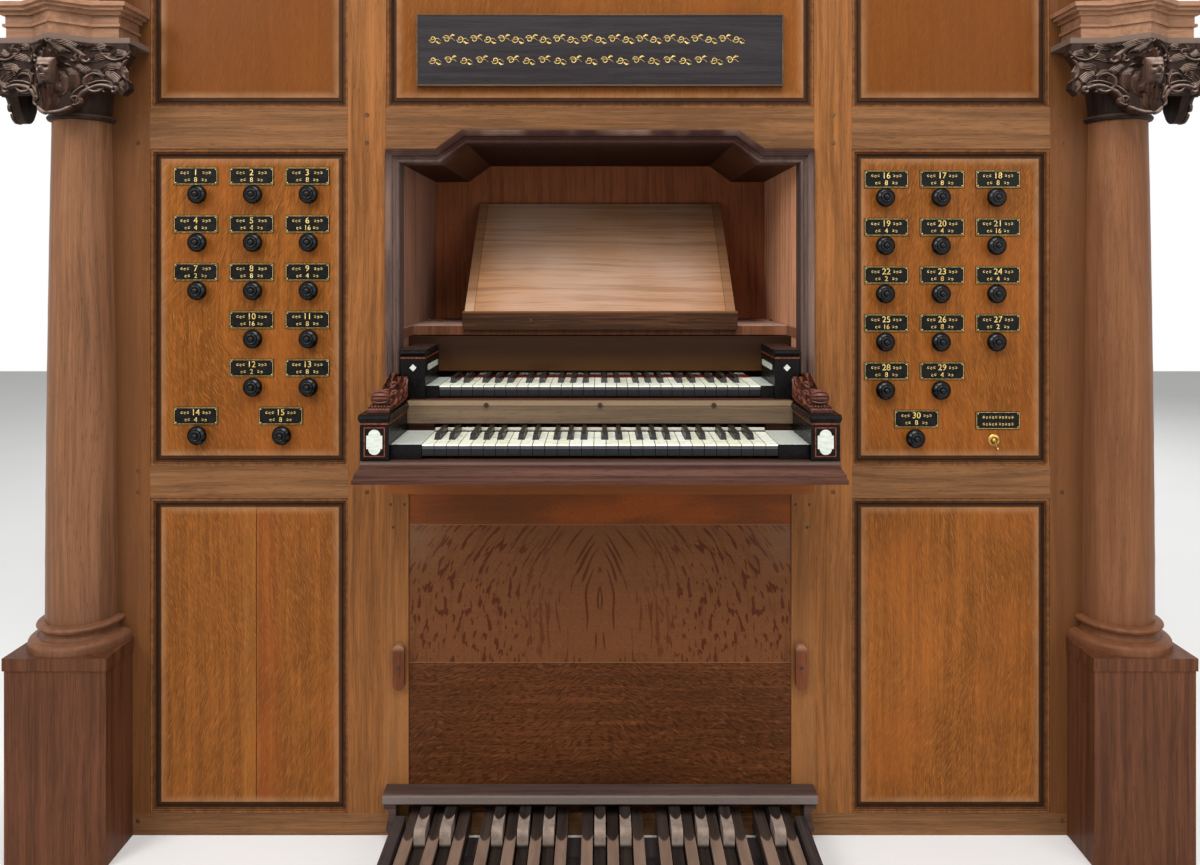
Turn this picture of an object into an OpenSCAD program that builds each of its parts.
// Console bay of a pipe organ: panelled oak case front with two manuals, pedalboard,
// drawstops and a column on a pedestal at each side.
// X runs to the player's right, Y into the case, Z up. The case front stands on Y = 0.

/* [Case front] */
// Height of the bottom rail
bottom_rail_h = 48; // [30:1:80]
// Height of the lower panels
lower_panel_h = 688; // [640:1:760]
// Height of the middle rail
mid_rail_h = 70; // [50:1:100]
// Height of the stop panels
stop_panel_h = 693; // [640:1:760]
// Height of the rail over the console window
head_rail_h = 90; // [70:1:130]
// Height of the upper panels
upper_panel_h = 511; // [300:1:700]
// Height of the top rail
top_rail_h = 70; // [40:1:120]
// Clear width between the inner stiles
bay_w = 934; // [924:1:960]
// Width of an inner stile
inner_stile_w = 83; // [60:1:120]
// Width of a side panel
panel_w = 432; // [410:1:480]
// Width of an outer stile
outer_stile_w = 93; // [70:1:120]
// Thickness of the stiles and rails
frame_t = 40; // [30:1:50]
// Thickness of a panel
panel_t = 18; // [12:1:24]
// Depth of the panel face behind the frame
panel_set = 8; // [5:1:12]
// Height of the raised field on a panel
field_step = 3; // [1:0.5:5]
// Width of the flat margin round the raised field
field_margin = 22; // [18:1:40]
// Width of the moulding round a panel
edge_w = 16; // [12:1:18]
// Depth of the case
case_d = 560; // [500:1:800]
// Thickness of the side and back walls
wall_t = 28; // [22:1:40]
// Depth of the panels let into the walls
wall_recess = 8; // [4:1:12]
// Width of the stiles beside the panels in the walls
wall_stile = 85; // [80:1:120]

/* [Console window] */
// Height of the lower end of the window frame
window_low = 971; // [962:1:990]
// Drop of the window frame's shoulders below the head rail
window_drop = 2; // [1:1:40]
// Rise of the window frame's middle over its shoulders
crest_rise = 42; // [20:1:60]
// Half-width of the raised middle at its lower end
window_crest_low = 359; // [330:1:390]
// Half-width of the raised middle at its upper end
window_crest_top = 301; // [260:1:325]
// Width of the window frame's face
window_face = 30; // [24:1:40]
// How far the window frame stands in front of the case
window_proud = 12; // [6:1:20]
// Depth of the niche behind the case front
niche_d = 440; // [400:1:480]
// Thickness of the niche lining
lining_t = 18; // [12:1:24]
// Height of the shelf's top
shelf_top = 1104; // [1090:1:1140]
// Thickness of the shelf
shelf_t = 21; // [15:1:30]
// Distance from the case front to the shelf's edge
shelf_front = 131; // [100:1:160]

/* [Music desk] */
// Width of the desk board
desk_w = 636; // [500:1:700]
// Thickness of the desk board
desk_t = 16; // [12:1:22]
// Slope of the desk from the level
desk_slope = 44.5; // [38:0.5:50]
// Width of the cleat at each end of the desk
desk_cleat_w = 22; // [15:1:30]
// Height of the desk's lip
lip_h = 42; // [30:1:50]
// Thickness of the desk's lip
lip_t = 14; // [10:1:20]

/* [Manuals] */
// Distance from one natural to the next
key_pitch = 23.5; // [22:0.1:24]
// Gap between two keys
key_gap = 1; // [0.6:0.1:1.5]
// Height of a natural from its underside to its top
natural_h = 22; // [18:1:24]
// Thickness of the plate on a natural
plate_t = 3; // [2:0.5:4]
// How far the plate stands over the front of its key
plate_lip = 2; // [1:0.5:3]
// Length of a natural's head, in front of the sharps
head_len = 48; // [44:1:56]
// Seen length of a natural
natural_seen = 150; // [140:1:160]
// Length of a key that is hidden behind the name board
key_tail = 90; // [60:1:120]
// Width of a sharp at its foot
sharp_w = 12; // [10:0.5:13]
// Width of a sharp at its top
sharp_top_w = 9; // [8:0.5:10]
// Height of a sharp over the naturals
sharp_h = 12; // [10:1:14]
// Slope of a sharp's front, measured along the key
sharp_nose = 5; // [3:0.5:8]
// Front of the lower manual, in front of the case
lower_front = 250; // [240:1:260]
// Height of the lower naturals' tops
lower_top = 901; // [899:1:906]
// Front of the upper manual, in front of the case
upper_front = 60; // [55:1:70]
// Height of the upper naturals' tops
upper_top = 989; // [985:1:1000]
// Height of the lower name board's top
lower_board_top = 962; // [955:1:963]
// Thickness of a name board
name_board_t = 12; // [8:1:16]

/* [Keybed and cheeks] */
// Height of the keybed's top
bed_top = 872; // [868:1:874]
// Thickness of the keybed
bed_h = 38; // [30:1:44]
// Front of the keybed, in front of the case
bed_front = 280; // [272:1:300]
// Half-width of the keybed without its moulding
bed_half = 451; // [445:1:460]
// How far the keybed's moulding stands out
bed_mould = 13; // [8:1:18]
// Half-width between the lower cheeks
cheek_in = 400; // [396:1:405]
// Width of a lower cheek
cheek_w = 55; // [45:1:60]
// Height of a lower cheek
cheek_h = 88; // [80:1:96]
// Front of the lower cheeks, in front of the case
cheek_front = 265; // [258:1:270]
// Half-width between the upper cheeks
upper_cheek_in = 368; // [364:1:372]
// Width of an upper cheek
upper_cheek_w = 52; // [40:1:56]
// Height of the upper cheeks' tops
upper_cheek_top = 1066; // [1050:1:1076]
// Front of the upper cheeks, in front of the case
upper_cheek_front = 70; // [64:1:80]

/* [Knee panel] */
// Width of a knee post
post_w = 49; // [40:1:60]
// Thickness of the knee boards
knee_t = 20; // [14:1:26]
// Depth of the knee boards behind the case front
knee_set = 3; // [1:1:8]
// Height of the knee rail's lower edge
knee_rail_z = 744; // [720:1:760]
// Height of the upper joint in the knee boards
knee_joint_high = 677; // [660:1:700]
// Height of the lower joint in the knee boards
knee_joint_low = 376; // [340:1:400]
// Height of the turn-buttons' pivots
button_z = 372; // [340:1:400]
// Length of a turn-button
button_len = 98; // [80:1:110]
// Width of a turn-button
button_w = 25; // [20:1:30]
// Thickness of a turn-button
button_t = 12; // [8:1:16]

/* [Drawstops] */
// Distance between two columns of drawstops
stop_pitch_x = 121; // [115:1:124]
// Height of the right block's last row over the lower edge of its panel
stop_foot = 61.4; // [50:0.1:70]
// Place of the left block's first knob across the case
left_stop_x = -876; // [-885:1:-870]
// Drop of the left block's first knob below the head rail
left_stop_drop = 100.4; // [94:0.1:108]
// Place of the right block's first knob across the case
right_stop_x = 620.4; // [615:0.1:630]
// Drop of the right block's first knob below the head rail
right_stop_drop = 107.1; // [98:0.1:112]
// Diameter of a knob
knob_d = 42; // [36:1:46]
// Diameter of a knob's rod
rod_d = 13; // [10:1:15]
// Clearance round a rod in its panel
rod_clear = 0.4; // [0.3:0.1:1]
// Length of a rod behind the panel face
rod_len = 90; // [80:1:120]
// Gap between a knob's collar and the panel
knob_gap = 5; // [5:0.5:8]

/* [Pedals] */
// Distance from one natural pedal to the next
pedal_pitch = 53; // [50:0.5:54]
// Width of a pedal
pedal_w = 23; // [20:1:24]
// Height of the natural pedals' tops
pedal_top = 60; // [54:1:64]
// Height of the pedals' undersides
pedal_under = 24; // [20:1:28]
// Height of the sharps' tops
pedal_sharp_top = 85; // [80:1:86]
// Reach of the sharps in front of the case
pedal_sharp_reach = 121; // [110:1:140]
// Reach of the pedals in front of the case
pedal_reach = 680; // [600:1:720]
// Thickness of the pedal frame's side boards
pedal_side_t = 23; // [18:1:28]
// Height of the pedal frame's side boards
pedal_side_h = 70; // [62:1:76]
// Half-width of the ledge over the pedals
ledge_half = 465; // [462:1:466]
// Top of the ledge over the pedals
ledge_top = 112; // [108:1:120]
// Thickness of the ledge
ledge_h = 22; // [16:1:24]
// Depth of the ledge
ledge_d = 45; // [40:1:60]

/* [Columns] */
// Distance from the middle of the case to a column's axis
column_x = 1125; // [1118:1:1130]
// Distance of a column's axis in front of the case
column_y = 5; // [0:1:10]
// Width of a pedestal
pedestal_w = 210; // [200:1:216]
// Height of a pedestal
pedestal_h = 433; // [380:1:480]
// Thickness of a pedestal's top board
pedestal_cap_h = 26; // [18:1:34]
// Height of a column's base mouldings
base_h = 52; // [44:1:60]
// Diameter of the shaft at its foot
shaft_d = 145; // [130:1:155]
// Diameter of the shaft under the capital
shaft_top_d = 120; // [105:1:130]
// Height of the capital's lower end over the head rail's lower edge
capital_rise = 54; // [20:1:90]
// Height of the capital
capital_h = 167; // [150:1:180]
// Half-width of the capital across its wings
capital_half = 146; // [138:1:155]
// Thickness of the carved apron on a capital
apron_t = 22; // [16:1:26]
// How far the apron stands in front of the block over it
apron_proud = 6; // [2:1:10]
// Thickness of the abacus
abacus_h = 12; // [8:1:20]
// Height of the entablature block on a capital
entablature_h = 70; // [60:1:90]
// Half-width of the entablature block
entablature_half = 118; // [110:1:118]
// Distance from a column's axis to the face of the block over it
column_front = 78; // [74:1:84]
// Half-width of the pointed break on the block
break_half = 62; // [50:1:70]
// How far the point of the break stands out
break_point = 46; // [30:1:56]
// Width of the pilaster above a column
pilaster_w = 150; // [120:1:180]

/* [Crown] */
// Height of the crown moulding
crown_h = 92; // [70:1:120]
// How far the crown moulding stands out
crown_out = 78; // [66:1:90]
// Thickness of the roof boards inside the crown
roof_t = 22; // [16:1:26]

/* [Fits] */
// Gap between loose pieces that lie beside each other
loose = 0.3; // [0.2:0.1:0.5]

/* [Hidden] */
$fn = 48;
stops_a_side = 15;

// Levels of the case front, from the floor up
lower_z = bottom_rail_h;
mid_z = lower_z + lower_panel_h;
stop_z = mid_z + mid_rail_h;
head_z = stop_z + stop_panel_h;
upper_z = head_z + head_rail_h;
top_z = upper_z + upper_panel_h;
case_top = top_z + top_rail_h;
// Places across the case front, from the middle out
bay_half = bay_w / 2;
panel_in = bay_half + inner_stile_w;
panel_mid = panel_in + panel_w / 2;
panel_out = panel_in + panel_w;
case_half = panel_out + outer_stile_w;
// Overlap by which solids of one piece are joined
hair = 0.01;
window_shoulder = head_z - window_drop;
window_top = window_shoulder + crest_rise;
capital_z = head_z + capital_rise;

// Middle line of the window frame's outer edge, from the right foot over the top
function window_path(low) = [
  [bay_half - loose, low], [bay_half - loose, window_shoulder],
  [window_crest_low, window_shoulder], [window_crest_top, window_top],
  [-window_crest_top, window_top], [-window_crest_low, window_shoulder],
  [loose - bay_half, window_shoulder], [loose - bay_half, low]];
lining_in = window_face;
niche_half = bay_half - loose - lining_in;
upper_board_h = 20;
upper_bed_top = upper_top - natural_h;
lower_bed_top = lower_top - natural_h;
// Manual compass: four octaves and the top C
naturals = 29;
manual_half = naturals * key_pitch / 2;
lower_board_y = natural_seen - lower_front;
upper_board_y = natural_seen - upper_front;

function unit(v) = v / norm(v);
function at(p, i) = p[(i + len(p)) % len(p)];
// Offset of corner i, one unit to the left of the way the points run
function corner_shift(p, i, closed) =
  let (last = len(p) - 1,
       ahead = (closed || i < last) ? unit(at(p, i + 1) - p[i]) : unit(p[i] - at(p, i - 1)),
       behind = (closed || i > 0) ? unit(p[i] - at(p, i - 1)) : ahead,
       na = [-ahead[1], ahead[0]], nb = [-behind[1], behind[0]])
  (na + nb) / (1 + na * nb);
function shifted(p, u, closed = true) =
  [for (i = [0:len(p) - 1]) p[i] + corner_shift(p, i, closed) * u];
// Arc of n steps round a centre
function arc(c, r, a0, a1, n) =
  [for (i = [0:n]) let (a = a0 + (a1 - a0) * i / n) c + r * [cos(a), sin(a)]];
function box_path(w, h) = [[-w / 2, -h / 2], [w / 2, -h / 2], [w / 2, h / 2], [-w / 2, h / 2]];

// A moulding with mitred corners. Profile points are [inward, outward from the face].
module run_along(path, profile, closed = true) {
  n = len(path);
  m = len(profile);
  points = [for (i = [0:n - 1]) let (s = corner_shift(path, i, closed)) for (q = profile)
    [path[i][0] + s[0] * q[0], path[i][1] + s[1] * q[0], q[1]]];
  sides = [for (i = [0:closed ? n - 1 : n - 2]) for (j = [0:m - 1])
    let (k = (i + 1) % n, l = (j + 1) % m) [i * m + j, k * m + j, k * m + l, i * m + l]];
  ends = closed ? [] : [[for (j = [0:m - 1]) j], [for (j = [m - 1:-1:0]) (n - 1) * m + j]];
  polyhedron(points = points, faces = concat(sides, ends), convexity = 6);
}
// Stands a shape drawn flat upright, so that its Z faces the player
module upright() { rotate([90, 0, 0]) children(); }
// Extrudes a [Y, Z] outline along X, from x0 to x1
module across(outline, x0, x1) {
  translate([x0, 0, 0]) rotate([90, 0, 90]) linear_extrude(x1 - x0) polygon(outline);
}
// Extrudes an [X, Z] outline along Y, from y0 to y1
module inward(outline, y0, y1) {
  translate([0, y1, 0]) rotate([90, 0, 0]) linear_extrude(y1 - y0) polygon(outline);
}
module box(x0, x1, y0, y1, z0, z1) { translate([x0, y0, z0]) cube([x1 - x0, y1 - y0, z1 - z0]); }
module both() { children(); mirror([1, 0, 0]) children(); }

module front_stiles() {
  color("peru") both() {
    box(bay_half, panel_in, 0, frame_t, lower_z, top_z);
    box(panel_out, case_half, 0, frame_t, lower_z, top_z);
    box(bay_half - post_w, bay_half - loose, 0, frame_t, lower_z, knee_rail_z);
  }
}

module front_rails() {
  color("peru") {
    box(-case_half, case_half, 0, frame_t, 0, lower_z);
    box(-case_half, case_half, 0, frame_t, top_z, case_top);
    both() {
      box(panel_in, panel_out, 0, frame_t, mid_z, stop_z);
      box(panel_in, panel_out, 0, frame_t, head_z, upper_z);
    }
    difference() {
      box(-bay_half, bay_half, 0, frame_t, head_z, upper_z);
      inward(shifted(window_path(0), -loose, false), -1, frame_t + 1);
    }
    box(loose - bay_half, bay_half - loose, 0, frame_t, knee_rail_z, bed_top - bed_h);
  }
}

// A fielded panel behind an opening w wide and h high, centred on the origin
module panel(w, h) {
  field_w = w - 2 * field_margin;
  field_h = h - 2 * field_margin;
  box(-w / 2, w / 2, panel_set, panel_set + panel_t, -h / 2, h / 2);
  box(-field_w / 2, field_w / 2, panel_set - field_step, panel_set + hair, -field_h / 2, field_h / 2);
}
module at_panel(side, z, h) { translate([side * panel_mid, 0, z + h / 2]) children(); }

module field_panels() {
  color("chocolate") {
    for (side = [-1, 1]) {
      at_panel(side, lower_z, lower_panel_h) panel(panel_w, lower_panel_h);
      at_panel(side, upper_z, upper_panel_h) panel(panel_w, upper_panel_h);
    }
    translate([0, 0, upper_z + upper_panel_h / 2]) panel(bay_w, upper_panel_h);
  }
}

// Places of the knobs as [column, row] of each block
stop_rows = 6;
stop_pitch_z = (stop_panel_h - right_stop_drop - stop_foot) / (stop_rows - 1);
left_places = concat([for (row = [0:2]) for (col = [0:2]) [col, row]],
  [for (row = [3:4]) for (col = [1:2]) [col, row]], [[0, 5], [1.52, 5]]);
right_places = concat([for (row = [0:3]) for (col = [0:2]) [col, row]],
  [[0, 4], [1, 4], [0.54, 5]]);
switch_place = [2, 5.06];
function stop_at(first, place) =
  [first[0] + place[0] * stop_pitch_x, 0, first[1] - place[1] * stop_pitch_z];
left_first = [left_stop_x, head_z - left_stop_drop];
right_first = [right_stop_x, head_z - right_stop_drop];
left_stops = [for (p = left_places) stop_at(left_first, p)];
right_stops = [for (p = right_places) stop_at(right_first, p)];
switch_at = stop_at(right_first, switch_place);
switch_ball_r = rod_d / 2;

module drilled(places, d) {
  difference() {
    children();
    for (p = places) translate(p) translate([0, panel_set + panel_t + 1, 0])
      rotate([90, 0, 0]) cylinder(d = d, h = panel_t + field_step + 2);
  }
}
module stop_panels() {
  color("chocolate") {
    drilled(left_stops, rod_d + 2 * rod_clear)
      at_panel(-1, stop_z, stop_panel_h) panel(panel_w, stop_panel_h);
    drilled(concat(right_stops, [switch_at]), rod_d + 2 * rod_clear)
      at_panel(1, stop_z, stop_panel_h) panel(panel_w, stop_panel_h);
  }
}

bead_r = 3.5;
edge_profile = concat([[0, -panel_set], [edge_w, -panel_set], [edge_w, 2 - panel_set]],
  arc([edge_w, 0], panel_set - 2, 270, 180, 4), arc([bead_r, 0], bead_r, 0, 180, 6));
module edge(w, h) { upright() run_along(box_path(w, h), edge_profile); }
module panel_mouldings() {
  color("saddlebrown") {
    for (side = [-1, 1]) {
      at_panel(side, lower_z, lower_panel_h) edge(panel_w, lower_panel_h);
      at_panel(side, stop_z, stop_panel_h) edge(panel_w, stop_panel_h);
      at_panel(side, upper_z, upper_panel_h) edge(panel_w, upper_panel_h);
    }
    translate([0, 0, upper_z + upper_panel_h / 2]) edge(bay_w, upper_panel_h);
  }
}

module window_frame() {
  bead = 4;
  bead_y = 2;
  cove_r = 6;
  crest_y = window_proud - 3;
  profile = concat([[0, -frame_t], [window_face, -frame_t], [window_face, bead_y]],
    arc([window_face - bead, bead_y], bead, 0, 180, 5),
    arc([window_face - 2 * bead - 2, crest_y], cove_r, 270, 180, 4),
    [[2 * bead, window_proud]], arc([bead, crest_y], bead, 45, 135, 3), [[0, crest_y]]);
  color("sienna") upright() run_along(window_path(window_low), profile, false);
}

module niche_lining() {
  path = window_path(bed_top);
  slab = [[lining_in - lining_t, -niche_d - lining_t], [lining_in, -niche_d - lining_t],
          [lining_in, -frame_t], [lining_in - lining_t, -frame_t]];
  color("sienna") {
    upright() run_along(path, slab, false);
    translate([0, niche_d + lining_t, 0]) upright() linear_extrude(lining_t)
      polygon(shifted(path, lining_in - lining_t / 2, false));
    both() box(niche_half, bay_half - loose, loose, frame_t, bed_top, window_low - loose);
    box(loose - niche_half, niche_half - loose, shelf_front, niche_d - loose,
        shelf_top - shelf_t, shelf_top);
    both() box(niche_half - loose - shelf_block_w, niche_half - loose, shelf_front + 12,
        niche_d - loose, shelf_top - shelf_t - shelf_block_h, shelf_top - shelf_t);
  }
}
shelf_block_w = 24;
shelf_block_h = 26;

// The desk stands on the shelf behind its lip and leans on the back of the niche
lip_drop = 8;
cleat_proud = 1;
desk_foot_y = shelf_front - loose + (desk_t + cleat_proud) * sin(desk_slope);
desk_len = (niche_d - loose - desk_foot_y) / cos(desk_slope);
module music_desk() {
  color("saddlebrown") {
    translate([0, desk_foot_y, shelf_top + loose]) rotate([desk_slope, 0, 0]) {
      box(desk_cleat_w - desk_w / 2 - hair, desk_w / 2 - desk_cleat_w + hair, 0, desk_len, 0, desk_t);
      both() box(desk_w / 2 - desk_cleat_w, desk_w / 2, 0, desk_len, 0, desk_t + cleat_proud);
    }
    box(-desk_w / 2, desk_w / 2, shelf_front - loose - lip_t, shelf_front - loose + hair,
        shelf_top - lip_drop, shelf_top - lip_drop + lip_h);
  }
}

sharp_after = [1, 1, 0, 1, 1, 1, 0];
sharp_lean = [-2.5, 2.5, 0, -3.5, 0, 3.5, 0];
function has_sharp(i) = i >= 0 && i < naturals - 1 && sharp_after[i % 7] == 1;
function sharp_x(i) = (i + 1 - naturals / 2) * key_pitch + sharp_lean[i % 7];
key_len = natural_seen + key_tail;

// Plan of natural i: a wide head and a tail notched for its sharps
function natural_plan(i) =
  let (x0 = (i - naturals / 2) * key_pitch + key_gap / 2,
       x1 = x0 + key_pitch - key_gap,
       half = sharp_w / 2 + key_gap,
       t0 = has_sharp(i - 1) ? sharp_x(i - 1) + half : x0,
       t1 = has_sharp(i) ? sharp_x(i) - half : x1)
  concat([[x0, 0], [x1, 0]],
    t1 < x1 ? [[x1, head_len], [t1, head_len]] : [], [[t1, key_len], [t0, key_len]],
    t0 > x0 ? [[t0, head_len], [x0, head_len]] : []);

module manual_naturals(front, top) {
  for (i = [0:naturals - 1]) translate([0, -front, top - natural_h]) {
    difference() {
      linear_extrude(natural_h) polygon(natural_plan(i));
      translate([-manual_half, -1, -1])
        cube([2 * manual_half, 1 + plate_lip, 1 + natural_h - plate_t]);
    }
  }
}
// Each sharp: a block with sloping sides and front, on its key body
module manual_sharps(front, top) {
  end = natural_seen - head_len + name_board_t;
  side = [[key_gap, 0], [key_gap + sharp_nose, sharp_h - 2], [key_gap + sharp_nose + 2, sharp_h],
          [end, sharp_h], [end, 0]];
  section = [[-sharp_w / 2, 0], [sharp_w / 2, 0], [sharp_top_w / 2, sharp_h],
             [-sharp_top_w / 2, sharp_h]];
  for (i = [0:naturals - 2]) if (has_sharp(i)) translate([sharp_x(i), head_len - front, top]) {
    box(-sharp_w / 2, sharp_w / 2, key_gap, key_len - head_len, -natural_h, 0);
    intersection() {
      across(side, -sharp_w, sharp_w);
      inward(section, 0, end + 1);
    }
  }
}

module upper_naturals() { color("ivory") manual_naturals(upper_front, upper_top); }
module lower_naturals() { color("ivory") manual_naturals(lower_front, lower_top); }
module upper_sharps() { color("dimgray") manual_sharps(upper_front, upper_top); }
module lower_sharps() { color("dimgray") manual_sharps(lower_front, lower_top); }

stud_r = 5;
stud_pitch = 236;
module name_boards() {
  lower_z0 = lower_top + sharp_h + 3;
  upper_z0 = upper_top + sharp_h + 3;
  lower_half = cheek_in - loose;
  color("burlywood") {
    box(-lower_half, lower_half, lower_board_y, lower_board_y + name_board_t,
        lower_z0, lower_board_top);
    for (x = [-1, 0, 1]) translate([x * stud_pitch, lower_board_y + hair, lower_board_top - 8])
      rotate([90, 0, 0]) cylinder(r = stud_r, h = 3);
    box(-niche_half + loose, niche_half - loose, upper_board_y, upper_board_y + name_board_t,
        upper_z0, shelf_top - shelf_t - loose);
  }
}

// Side outline of a cheek, with a rounded nose on its cap, from the front to y1
cap_h = 14;
cap_proud = 4;
function cheek_outline(front, low, top, y1) = concat(
  [[-front, low], [-front, top - cap_h]],
  arc([-front, top - cap_h / 2], cap_proud, 240, 120, 4), [[-front + 2, top], [y1, top], [y1, low]]);
// The cap of a cheek, standing out over its sides
module cheek_cap(x0, x1, top, y0, y1) {
  inward([[x0 - cap_proud + 2, top - cap_h], [x0 - cap_proud, top - cap_h / 2],
          [x0 - cap_proud + 2, top], [x1 + cap_proud - 2, top], [x1 + cap_proud, top - cap_h / 2],
          [x1 + cap_proud - 2, top - cap_h]], y0, y1);
}
module key_cheeks() {
  lower_out = cheek_in + cheek_w;
  upper_out = upper_cheek_in + upper_cheek_w;
  lower_cap_top = bed_top + cheek_h;
  color("black") both() {
    across(cheek_outline(cheek_front, bed_top, lower_cap_top, -loose), cheek_in, lower_out);
    cheek_cap(cheek_in, lower_out, lower_cap_top, -cheek_front, lower_board_y - loose);
    box(manual_half + loose, cheek_in - loose, -lower_front, lower_board_y - loose,
        bed_top, lower_top);
    across(cheek_outline(upper_cheek_front, lower_board_top, upper_cheek_top, upper_board_y - loose),
           upper_cheek_in, upper_out);
    cheek_cap(upper_cheek_in, upper_out, upper_cheek_top, -upper_cheek_front, -window_proud - loose);
    box(manual_half + loose, upper_cheek_in - loose, -upper_front, upper_board_y - loose,
        lower_board_top, upper_top);
  }
}

// A carved console on a lower cheek: volute, leaf and a hollowed bracket against the upper cheek
module cheek_carvings() {
  carve_w = 44;
  volute_r = 18;
  leaf_rise = 56;
  bracket_rise = 92;
  hollow_r = 62;
  z0 = bed_top + cheek_h;
  y0 = 24 - cheek_front;
  back = -20;
  x0 = cheek_in + 4;
  upper_x0 = upper_cheek_in;
  upper_x1 = upper_cheek_in + upper_cheek_w + cap_proud;
  outline = concat([[y0, z0], [back, z0], [back, z0 + leaf_rise]],
    arc([y0 + 130, z0 + bracket_rise], hollow_r, 330, 215, 8),
    arc([y0 + 6, z0 + volute_r], volute_r, 60, 200, 6));
  color("brown") both() difference() {
    across(outline, x0, x0 + carve_w);
    box(upper_x0 - 1, upper_x1 + loose, -upper_cheek_front - cap_proud - loose, 0,
        z0 - 1, upper_cheek_top + 1);
  }
}

// Front and side outlines meet in the mitres of the keybed's moulding
bed_edge = [[0, 0], [bed_mould, 0], [bed_mould, 8], [bed_mould - 3, 11], [bed_mould - 3, 16],
            [bed_mould - 8, 24], [2, 27], [2, 31], [0, 31], [0, bed_h]];
module keybed() {
  z0 = bed_top - bed_h;
  back = niche_d - frame_t;
  rest_back = 35;
  upper_rest_back = 20;
  front = [for (p = bed_edge) [-bed_front - p[0], z0 + p[1]]];
  right = [for (p = bed_edge) [bed_half + p[0], z0 + p[1]]];
  left = [for (i = [len(bed_edge) - 1:-1:0]) [-right[i][0], right[i][1]]];
  key_back = key_len - lower_front;
  riser_in = manual_half + 5;
  color("saddlebrown") {
    difference() {
      intersection() {
        across(concat(front, [[back, bed_top], [back, z0]]), -bed_half - 50, bed_half + 50);
        inward(concat(right, left), -bed_front - 50, back + 1);
      }
      both() box(niche_half - loose, bed_half + 60, -loose, back + 2, z0 - 1, bed_top + 1);
    }
    box(-manual_half, manual_half, rest_back - lower_front, key_back, bed_top - hair, lower_bed_top);
    both() box(riser_in, cheek_in - loose, lower_board_y + name_board_t + loose, key_back,
        bed_top - hair, lower_board_top - upper_board_h + hair);
    box(loose - cheek_in, cheek_in - loose, lower_board_y + name_board_t + loose,
        key_len - upper_front, lower_board_top - upper_board_h, lower_board_top);
    box(-manual_half, manual_half, upper_rest_back - upper_front, key_len - upper_front,
        lower_board_top - hair, upper_bed_top);
  }
}

module knee_panel() {
  half = bay_half - post_w - loose;
  low = lower_z + loose;
  levels = [low, knee_joint_low, knee_joint_high, knee_rail_z - loose];
  color("sienna") for (i = [0:2])
    box(-half, half, knee_set, knee_set + knee_t, levels[i], levels[i + 1] - (i < 2 ? loose : 0));
}

button_inset = 30.38;
collar_r = 6;
module turn_button(side) {
  x = side * (bay_half - button_inset);
  end_r = button_w / 2;
  stand = knob_gap;
  color("saddlebrown") translate([x, 0, button_z]) rotate([90, 0, 0]) {
    translate([0, 0, stand]) hull() for (s = [-1, 1])
      translate([0, s * (button_len / 2 - end_r), 0]) cylinder(r = end_r, h = button_t);
    translate([0, 0, loose]) cylinder(r = collar_r, h = stand);
  }
}
module left_turn_button() { turn_button(-1); }
module right_turn_button() { turn_button(1); }

module pedal_ledge() {
  nose = 4;
  z0 = ledge_top - ledge_h;
  bracket_w = 27;
  color("dimgray") {
    across([[-loose, z0], [-loose, ledge_top], [nose - ledge_d, ledge_top],
            [-ledge_d, ledge_top - nose], [-ledge_d, z0 + nose], [nose - ledge_d, z0]],
           -ledge_half, ledge_half);
    both() inward(concat([[ledge_half - bracket_w, z0 + hair], [ledge_half - bracket_w, pedal_under]],
        arc([ledge_half - bracket_w + 9, pedal_under + 12], 12, 230, 380, 8),
        arc([ledge_half - 2, z0 - 22], 10, 200, 90, 5), [[ledge_half - 2, z0 + hair]]),
      -ledge_d + 8, -loose);
  }
}

pedals = 16;
pedal_half = (pedals - 1) * pedal_pitch / 2 + pedal_w / 2;
pedal_sharp_after = [1, 1, 0, 1, 1, 1, 0];
function pedal_x(i) = (i - (pedals - 1) / 2) * pedal_pitch;
module lever(x, top) {
  r = 8;
  across(concat([[-loose, pedal_under], [-loose, top]],
      arc([r - pedal_reach, top - r], r, 90, 180, 5), [[-pedal_reach, pedal_under]]),
    x - pedal_w / 2, x + pedal_w / 2);
}
module pedal_naturals() {
  color("gray") for (i = [0:pedals - 1]) lever(pedal_x(i), pedal_top);
}
module pedal_sharps() {
  r = 14;
  color("dimgray") for (i = [0:pedals - 2]) if (pedal_sharp_after[i % 7] == 1)
    let (x = pedal_x(i) + pedal_pitch / 2) {
      lever(x, pedal_top - 14);
      across(concat([[-loose, pedal_top - 20], [-loose, pedal_sharp_top]],
          arc([r - pedal_sharp_reach, pedal_sharp_top - r], r, 90, 180, 5),
          [[-pedal_sharp_reach, pedal_top - 20]]), x - pedal_w / 2, x + pedal_w / 2);
    }
}
module pedal_frame() {
  side_in = ledge_half - 51;
  front = pedal_reach + 22;
  back = -ledge_d - 2;
  slope_l = 30;
  slope_h = 24;
  heel_in = 60;
  heel_out = 12;
  toe_front = 110;
  color("dimgray") {
    both() across([[back, 0], [back, pedal_side_h], [slope_l - front, pedal_side_h],
        [-front, pedal_side_h - slope_h], [-front, 0]], side_in, side_in + pedal_side_t);
    box(-side_in - hair, side_in + hair, -pedal_reach - heel_out, heel_in - pedal_reach, 0,
      pedal_under);
    box(-side_in - hair, side_in + hair, -toe_front, back, 0, pedal_under);
  }
}

// Leaves room for the corner of the case in what is planted on it
module beside_case(x0 = case_half) {
  difference() {
    children();
    both() box(-1, x0 + loose, -loose, case_d + 1, -1, case_top + crown_h);
  }
}
module at_columns() {
  translate([column_x, -column_y, 0]) children();
  mirror([1, 0, 0]) translate([column_x, -column_y, 0]) children();
}

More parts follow.
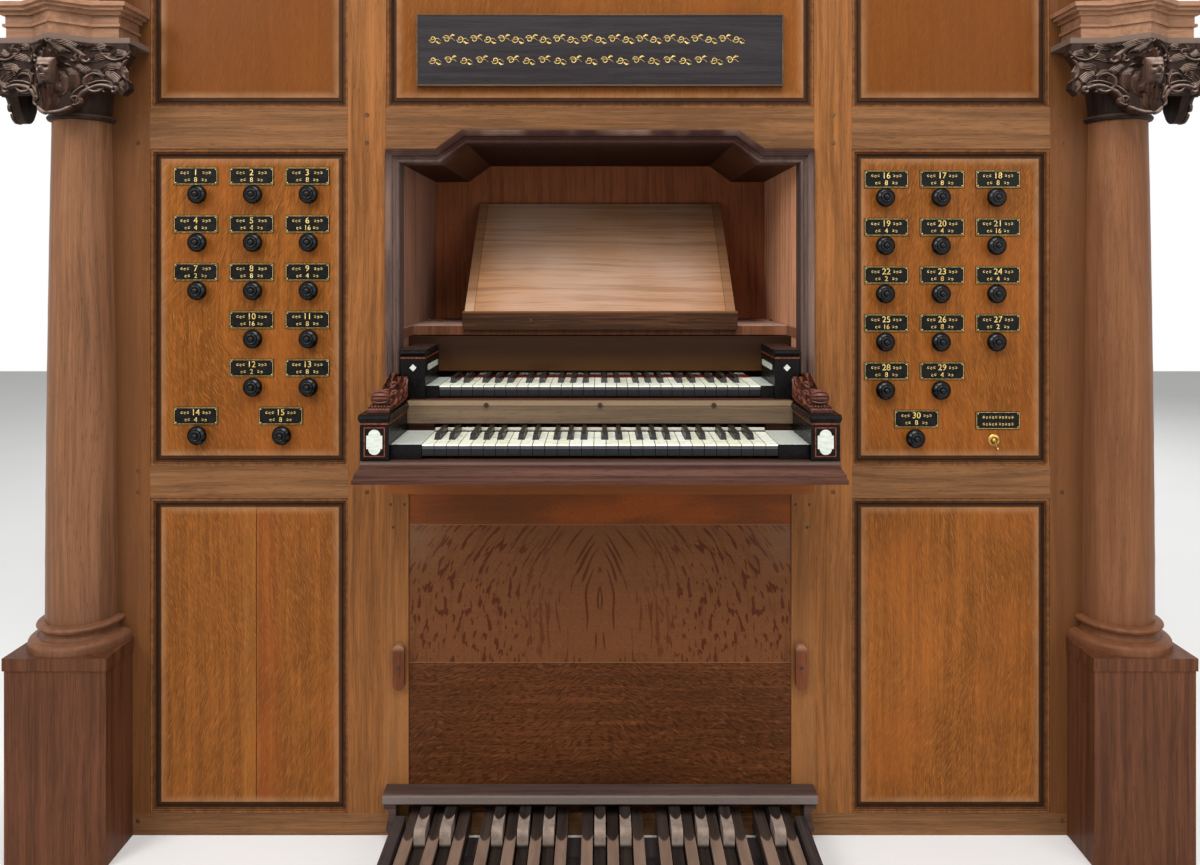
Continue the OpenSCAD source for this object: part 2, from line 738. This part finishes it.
module pedestals() {
  half = pedestal_w / 2;
  cap_half = half + 3;
  color("sienna") beside_case() at_columns() {
    box(-half, half, -half, half, 0, pedestal_h - pedestal_cap_h + hair);
    box(-cap_half, cap_half, -cap_half, cap_half, pedestal_h - pedestal_cap_h, pedestal_h);
  }
}

module columns() {
  r = shaft_d / 2;
  top_r = shaft_top_d / 2;
  foot = pedestal_h + base_h;
  height = capital_z - foot;
  base_r = pedestal_w / 2 - 1;
  swell = [for (i = [0:8]) let (t = i / 8) [r + (top_r - r) * pow(t, 1.6), foot + height * t]];
  color("sienna") beside_case() at_columns() rotate_extrude() polygon(concat(
    [[0, pedestal_h], [base_r, pedestal_h]],
    arc([base_r - 10, pedestal_h + 10], 10, 0, 90, 5),
    [[base_r - 16, pedestal_h + 22]],
    arc([r + 12, pedestal_h + 30], 9, 250, 90, 6), [[r + 14, pedestal_h + 41]],
    arc([r + 10, pedestal_h + 45], 6, 0, 90, 4),
    swell, [[0, capital_z]]));
}

// Half of a capital's apron, from its middle foot out: a lobe, a scrolled arch and a hollowed wing
function wing(half) = let (k = half / capital_half) [for (p = concat(
  arc([0, 46], 46, 270, 325, 6), arc([88, 18], 44, 165, 60, 8),
  [[128, 46], [capital_half - 4, 60]], arc([capital_half + 8, 96], 26, 235, 135, 6),
  [[capital_half, capital_h - abacus_h - 24], [capital_half - 6, capital_h - abacus_h + hair],
   [0, capital_h - abacus_h + hair]])) [k * p[0], p[1]]];
function whole(p) = concat(p, [for (i = [len(p) - 1:-1:0]) if (p[i][0] > hair) [-p[i][0], p[i][1]]]);

// Plan of a capital, cut back by a distance on all its faces
function capital_plan(cut) =
  let (w = capital_half - cut, front = cut - column_front - apron_proud, back = capital_back - cut)
  [[-w, back], [-w, front], [-break_half, front], [0, front - break_point], [break_half, front],
   [w, front], [w, back]];
capital_back = 100;

// The bell of a capital inside carved aprons on its front and outer side, under the abacus
module capitals() {
  r = shaft_top_d / 2;
  side_half = (capital_back + column_front + apron_proud) / 2;
  top = capital_h - abacus_h;
  color("rosybrown") beside_case() at_columns() translate([0, 0, capital_z]) {
    rotate_extrude() polygon(concat([[0, 0], [r + 2, 0]], arc([r + 4, 6], 6, 270, 450, 5),
      [[r, 14], [r + 6, 60], [r + 20, 110], [r + 40, top + hair], [0, top + hair]]));
    intersection() {
      linear_extrude(capital_h) difference() {
        polygon(capital_plan(0));
        polygon(capital_plan(apron_t));
      }
      union() {
        inward(whole(wing(capital_half)), -column_front - apron_proud - break_point - 1,
          apron_t - column_front - apron_proud + 1);
        translate([0, (capital_back - column_front - apron_proud) / 2, 0])
          across(whole(wing(side_half)), break_half, capital_half + 1);
      }
    }
    translate([0, 0, top]) linear_extrude(abacus_h - loose) polygon(capital_plan(4));
  }
}

// Plan of the block over a column: straight wings and a pointed break in the middle
block_back = 60;
break_spread = 0.4;
function break_plan(out) =
  let (w = entablature_half + out, front = -column_front - out, half = break_half + out * break_spread)
  [[-w, block_back], [-w, front], [-half, front], [0, front - break_point], [half, front],
   [w, front], [w, block_back]];
// Courses of the block from below: height and how far each stands out
courses = [[22, 0], [6, 5], [18, 1], [8, 8], [7, 18], [9, 24]];
function course_z(i) = i == 0 ? 0 : course_z(i - 1) + courses[i - 1][0];

crown_edge = concat([[0, 0], [4, 0], [4, 12]], arc([40, 12], 34, 180, 110, 6),
  arc([crown_out - 30, 84], 26, 270, 350, 5), [[crown_out, 76], [crown_out, crown_h], [0, crown_h]]);
// Crown moulding over a front from x0 to x1 at y0, with returns that run back to y1
module crown_over(x0, x1, y0, y1) {
  side = [for (p = crown_edge) [x1 + p[0], case_top + p[1]]];
  other = [for (i = [len(crown_edge) - 1:-1:0]) [x0 - crown_edge[i][0], case_top + crown_edge[i][1]]];
  intersection() {
    across(concat([for (p = crown_edge) [y0 - p[0], case_top + p[1]]],
      [[y1, case_top + crown_h], [y1, case_top]]), x0 - 2 * crown_out, x1 + 2 * crown_out);
    inward(concat(side, other), y0 - 2 * crown_out, y1);
  }
}
module cornice() {
  z0 = capital_z + capital_h;
  scale_z = entablature_h / course_z(len(courses));
  half = pilaster_w / 2;
  color("sienna") {
    beside_case() at_columns() {
      for (i = [0:len(courses) - 1]) translate([0, 0, z0 + scale_z * course_z(i)])
        linear_extrude(scale_z * courses[i][0] + hair) polygon(break_plan(courses[i][1]));
      box(-half, half, -half, half, z0 + entablature_h, case_top + hair);
    }
    difference() {
      union() {
        crown_over(-case_half, case_half, 0, case_d);
        both() crown_over(column_x - half, column_x + half, -column_y - half, half - column_y);
      }
      box(frame_t - case_half, case_half - frame_t, frame_t, case_d - frame_t,
          case_top - 1, case_top + crown_h - roof_t);
    }
  }
}

// Levels of the panels, repeated on the sides and the back
panel_levels = [[lower_z, mid_z], [stop_z, head_z], [upper_z, top_z]];
module side_walls() {
  y0 = frame_t + wall_stile;
  y1 = case_d - wall_stile;
  color("peru") both() difference() {
    box(case_half - wall_t, case_half, frame_t, case_d - wall_t, 0, case_top);
    for (z = panel_levels) box(case_half - wall_recess, case_half + 1, y0, y1, z[0], z[1]);
  }
}
module back_wall() {
  color("peru") difference() {
    box(-case_half, case_half, case_d - wall_t, case_d, 0, case_top);
    for (z = panel_levels) {
      both() box(panel_in, panel_out, case_d - wall_recess, case_d + 1, z[0], z[1]);
      box(-bay_half, bay_half, case_d - wall_recess, case_d + 1, z[0], z[1]);
    }
  }
}

// A turned knob on its rod, at the origin, with the panel face on Y = panel_set - field_step
module drawstop(place) {
  r = knob_d / 2;
  face = field_step - panel_set;
  collar = face + knob_gap;
  color("black") translate(place) rotate([90, 0, 0]) rotate_extrude() polygon(concat(
    [[0, face - rod_len], [rod_d / 2, face - rod_len], [rod_d / 2, collar], [r - 6, collar],
     [r - 5, collar + 5], [r - 8, collar + 8]],
    arc([r - 5, collar + 15], 5, 240, 360, 5), arc([r - 7, collar + 15], 7, 0, 80, 5),
    [[r - 8, collar + 20]], arc([5.5, collar + 22], 4, 20, 90, 4), [[0, collar + 26]]));
}
module switch_lever() {
  face = field_step - panel_set;
  lean = 130;
  stem_r = 2.4;
  stem_l = 24;
  tip_r = 3.6;
  color("gold") translate([switch_at[0], -face, switch_at[2]]) {
    sphere(r = switch_ball_r);
    rotate([lean, 0, 0]) cylinder(r = stem_r, h = stem_l);
    rotate([lean, 0, 0]) translate([0, 0, stem_l]) sphere(r = tip_r);
  }
}

front_stiles();
front_rails();
field_panels();
stop_panels();
panel_mouldings();
window_frame();
niche_lining();
music_desk();
name_boards();
upper_naturals();
upper_sharps();
lower_naturals();
lower_sharps();
key_cheeks();
cheek_carvings();
keybed();
knee_panel();
pedal_ledge();
pedal_frame();
pedal_naturals();
pedal_sharps();
pedestals();
columns();
capitals();
cornice();
side_walls();
back_wall();
switch_lever();
left_turn_button();
right_turn_button();
for (i = [1:stops_a_side]) {
  drawstop(left_stops[i - 1]);
  drawstop(right_stops[i - 1]);
}
